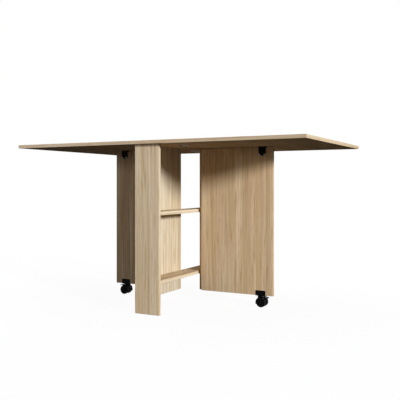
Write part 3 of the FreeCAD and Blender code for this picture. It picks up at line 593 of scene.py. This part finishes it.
def wheel_finish(name):
    """Black nylon whose tread is scuffed grey by the floor: the scuff follows the distance from
    the axle, and noise along the tread breaks it up."""
    low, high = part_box(name)
    middle = (low + high) / 2
    radius = (high.z - low.z) / 2
    finish, shader, place = new_finish("tread_" + name)
    spot = place.axes()
    out_x = spot[X_AXIS] - middle.x
    out_z = spot[Z_AXIS] - middle.z
    reach = place.math("SQRT", out_x * out_x + out_z * out_z)
    tread = reach.ramped(radius - TREAD_INSIDE, radius - TREAD_FULL)
    grains = place.noise(WHEEL_GRAINS, detail=2.0)
    scuffs = place.vector(out_x, spot[Y_AXIS], out_z).noise(SCUFF_RATES, detail=3.0)
    worn = tread * scuffs.ramped(*SCUFF_MASK)
    colour = grains.between(BLACK_DEEP, BLACK_PALE)
    feed(shader, Base_Color=(worn * SCUFF_SHARE).between(colour, SCUFF_GREY),
         Roughness=WHEEL_ROUGHNESS + grains * WHEEL_GRAIN_ROUGHNESS + worn * SCUFF_ROUGHNESS,
         Specular_IOR_Level=BLACK_SHEEN, Normal=(grains + scuffs * tread).bump(*WHEEL_BUMP))
    dress(finish, name)
    return finish


CAP_RADIUS = 0.0080
CAP_HEIGHT = 0.0011
CAP_SEAT = 0.0004
CAP_RIM = 0.999
CAP_GROOVE = 0.0004
CAP_GROOVE_PLACE = 0.62
CAP_GROOVE_WIDTH = 0.06
CAP_ROWS = 12
CAP_SIDES = 40


def hub_cap(hub, outward):
    """A dome turned round the axle: its height is the root of one less the square of the share of the
    radius, less a bell curve where a ring groove runs. Its foot is sunk a little into the wheel."""
    share = np.linspace(1, 0, CAP_ROWS)
    dome = CAP_HEIGHT * np.sqrt(1 - CAP_RIM * share ** 2)
    groove = CAP_GROOVE * np.exp(-((share - CAP_GROOVE_PLACE) / CAP_GROOVE_WIDTH) ** 2)
    foot = [[0, -CAP_SEAT], [CAP_RADIUS, -CAP_SEAT]]
    profile = np.concatenate([foot, np.stack([share * CAP_RADIUS, dome - groove], axis=1)])
    return turned(profile, hub, (0, outward, 0), CAP_SIDES)


SPOKE_COUNT = 8
SPOKE_FROM = 0.0086
SPOKE_TO = 0.0158
SPOKE_HALF_WIDTH = 0.0011
SPOKE_RISE = 0.0015
SPOKE_ROWS = 6
SPOKE_ARCH_POINTS = 9
DISH_DEPTH = 0.0020


def spokes(hub, outward):
    """Low bars between hub and rim. Round a bar the section is a flat foot closed by a half sine;
    along it the section runs straight out from the hub and shrinks to a point at each end."""
    along = np.pad(np.linspace(SPOKE_FROM, SPOKE_TO, SPOKE_ROWS), 1, mode="edge")
    swell = np.pad(np.ones(SPOKE_ROWS), 1)
    arch = np.linspace(-1, 1, SPOKE_ARCH_POINTS)
    across = np.append(arch, 0) * SPOKE_HALF_WIDTH
    rise = np.append(SPOKE_RISE * np.cos(arch * np.pi / 2), 0)
    bars = []
    for turn in np.arange(SPOKE_COUNT) * 2 * np.pi / SPOKE_COUNT:
        ray = np.array([np.cos(turn), 0, np.sin(turn)])
        beside = np.array([-np.sin(turn), 0, np.cos(turn)])
        points = (np.asarray(hub) + along[:, None, None] * ray
                  + (swell[:, None] * across)[:, :, None] * beside
                  + (swell[:, None] * rise - DISH_DEPTH)[:, :, None] * np.array([0, outward, 0]))
        bars.append(skin(points))
    return bars


for side in ("left", "right"):
    for end, outward in (("front", -1), ("rear", 1)):
        wheel = side + "_castor_" + end + "_wheel"
        tread_nylon = wheel_finish(wheel)
        wheel_low, wheel_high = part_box(wheel)
        hub = (wheel_low + wheel_high) / 2
        hub.y = wheel_low.y if outward < 0 else wheel_high.y
        body = side + "_" + end + "_wheel"
        new_piece(wheel + "_cap", [hub_cap(hub, outward)], black_nylon, body)
        new_piece(wheel + "_spokes", spokes(hub, outward), tread_nylon, body)

RIDGE_STEPS = (0.0080, 0.0110, 0.0140)
RIDGE_HALF_LENGTH = 0.0095
RIDGE_RADIUS = 0.0006
RIDGE_END_POWER = 12
RIDGE_ROWS = 25
RIDGE_SIDES = 12
TAB_HALF_THICKNESS = 0.0016
TAB_DROOP = math.radians(10)


def grip_ridge(centre, outward, upward):
    """A bar along Y: a circle in the plane of outward and upward, whose radius is the root of one less
    a high power of the share of the bar's half length, so that it is even and its ends are round."""
    turn = np.linspace(0, 2 * np.pi, RIDGE_SIDES, endpoint=False)
    share = np.linspace(-1, 1, RIDGE_ROWS)
    taper = np.sqrt(np.clip(1 - np.abs(share) ** RIDGE_END_POWER, 0, 1))
    ring = np.cos(turn)[:, None] * outward + np.sin(turn)[:, None] * upward
    return skin(centre + (share * RIDGE_HALF_LENGTH)[:, None, None] * np.array([0, 1, 0])
                + (taper * RIDGE_RADIUS)[:, None, None] * ring)


for side, sign in (("left", -1), ("right", 1)):
    pivot = np.array(joints[side + "_brake_press"]["pos_m"])
    outward = np.array([sign * math.cos(TAB_DROOP), 0, -math.sin(TAB_DROOP)])
    upward = np.array([sign * math.sin(TAB_DROOP), 0, math.cos(TAB_DROOP)])
    ridges = [grip_ridge(pivot + step * outward + TAB_HALF_THICKNESS * upward, outward, upward)
              for step in RIDGE_STEPS]
    new_piece(side + "_brake_grip_ridges", ridges, black_nylon, side + "_brake")

# Floor: a wide pale sheet that takes the table's soft shadow and fades into white further off.
# Rays that show it directly see it nearly white; light that falls on it hardly comes back up.
FLOOR_HALF = 14.0
FLOOR_TONE = (0.95, 0.95, 0.95)
FLOOR_BOUNCE = (0.015, 0.013, 0.011)
FLOOR_ROUGHNESS = 0.9
FLOOR_WHITE_SHARE = 0.945
FLOOR_FADE_FROM = 1.0
FLOOR_FADE_TO = 3.5


def seen_directly(tree):
    """1 for a ray that shows the surround itself: from the camera, a mirror or through glass."""
    camera_ray = Flow(tree).node("ShaderNodeLightPath", output="Is Camera Ray")
    mirrored = camera_ray.math("MAXIMUM", camera_ray, camera_ray.sibling("Is Glossy Ray"))
    return mirrored.math("MAXIMUM", mirrored, camera_ray.sibling("Is Transmission Ray"))


floor_paint, floor_shader, floor_place = new_finish("floor_paint")
floor_tree = floor_place.tree
floor_seen = seen_directly(floor_tree)
feed(floor_shader, Base_Color=floor_seen.between(FLOOR_BOUNCE, FLOOR_TONE), Roughness=FLOOR_ROUGHNESS)
floor_reach = floor_place.node("ShaderNodeVectorMath", {"operation": "LENGTH"}, {0: floor_place}, output=1)
floor_fade = floor_reach.ramped(FLOOR_FADE_FROM, FLOOR_FADE_TO)
floor_white = floor_fade * (1.0 - FLOOR_WHITE_SHARE) + FLOOR_WHITE_SHARE
floor_glow = floor_seen.node("ShaderNodeEmission", inputs={"Strength": 1.0})
floor_mix = floor_seen.node("ShaderNodeMixShader", inputs={
    0: floor_seen * floor_white, 1: Flow(floor_tree, floor_shader.outputs[0]), 2: floor_glow})
give(floor_tree.nodes["Material Output"].inputs["Surface"], floor_mix)

floor_mesh = bpy.data.meshes.new("floor")
floor_mesh.from_pydata([(-FLOOR_HALF, -FLOOR_HALF, 0), (FLOOR_HALF, -FLOOR_HALF, 0),
                        (FLOOR_HALF, FLOOR_HALF, 0), (-FLOOR_HALF, FLOOR_HALF, 0)], [], [(0, 1, 2, 3)])
floor_mesh.materials.append(floor_paint)
floor = bpy.data.objects.new("floor", floor_mesh)
bpy.context.scene.collection.objects.link(floor)

# Surround and lamps: an even white room that itself gives little light, and a far key lamp low on
# the right. Softer lamps stand at the front left, behind and on the left, and a wide one hangs overhead.
SKY_STRENGTH = 0.035
world = bpy.data.worlds.new("surround")
bpy.context.scene.world = world
world.use_nodes = True
sky = world.node_tree.nodes["Background"]
sky_seen = seen_directly(world.node_tree)
give(sky.inputs["Color"], (1.0, 1.0, 1.0))
give(sky.inputs["Strength"], sky_seen * (1.0 - SKY_STRENGTH) + SKY_STRENGTH)

LAMP_AIM = Vector((0, 0, 0.45))
KEY_DISTANCE = 4
KEY_BEARING = math.radians(-25)
KEY_RISE = math.radians(14.3)
KEY_SPREAD = math.radians(9.4)
KEY_COLOUR = (0.965, 1.01, 1.07)
FILL_COLOUR = (1.0, 0.98, 0.98)


def lamp(name, kind, place, power, **settings):
    """A lamp at a place, turned to face the table."""
    data = bpy.data.lights.new(name, kind)
    data.energy = power
    for setting, value in settings.items():
        setattr(data, setting, value)
    made = bpy.data.objects.new(name, data)
    made.location = place
    made.rotation_euler = (LAMP_AIM - Vector(place)).to_track_quat("-Z", "Y").to_euler()
    bpy.context.scene.collection.objects.link(made)


key_way = Vector((math.cos(KEY_BEARING) * math.cos(KEY_RISE), math.sin(KEY_BEARING) * math.cos(KEY_RISE),
                  math.sin(KEY_RISE)))
lamp("key", "SUN", place=LAMP_AIM + KEY_DISTANCE * key_way, power=3.8, angle=KEY_SPREAD, color=KEY_COLOUR)
lamp("fill", "AREA", place=(-1.6, -3.8, 1.25), power=25, size=0.9, color=FILL_COLOUR)
lamp("rear", "AREA", place=(-0.6, 4.2, 1.5), power=75, size=1.4)
lamp("side", "AREA", place=(-3.9, 1.4, 1.1), power=34, size=0.5)
lamp("overhead", "AREA", place=(0.0, 0.0, 4.0), power=80, size=3.0)

# Camera: it stands level at the photograph's place, lower than the tabletop.
# Its lens is shifted down to frame the table, so that upright edges stay upright.
CAMERA_PLACE = (1.4015, -2.575, 0.544)
CAMERA_LEVEL = math.radians(90)
CAMERA_TURN = math.radians(27.66)
CAMERA_LENS = 55.67
CAMERA_SENSOR = 36.0
CAMERA_SHIFT = -0.038
camera_data = bpy.data.cameras.new("camera")
camera_data.lens = CAMERA_LENS
camera_data.sensor_width = CAMERA_SENSOR
camera_data.shift_y = CAMERA_SHIFT
camera = bpy.data.objects.new("camera", camera_data)
camera.location = CAMERA_PLACE
camera.rotation_euler = (CAMERA_LEVEL, 0, CAMERA_TURN)
bpy.context.scene.collection.objects.link(camera)
bpy.context.scene.camera = camera
bpy.context.scene.view_settings.view_transform = "Standard"
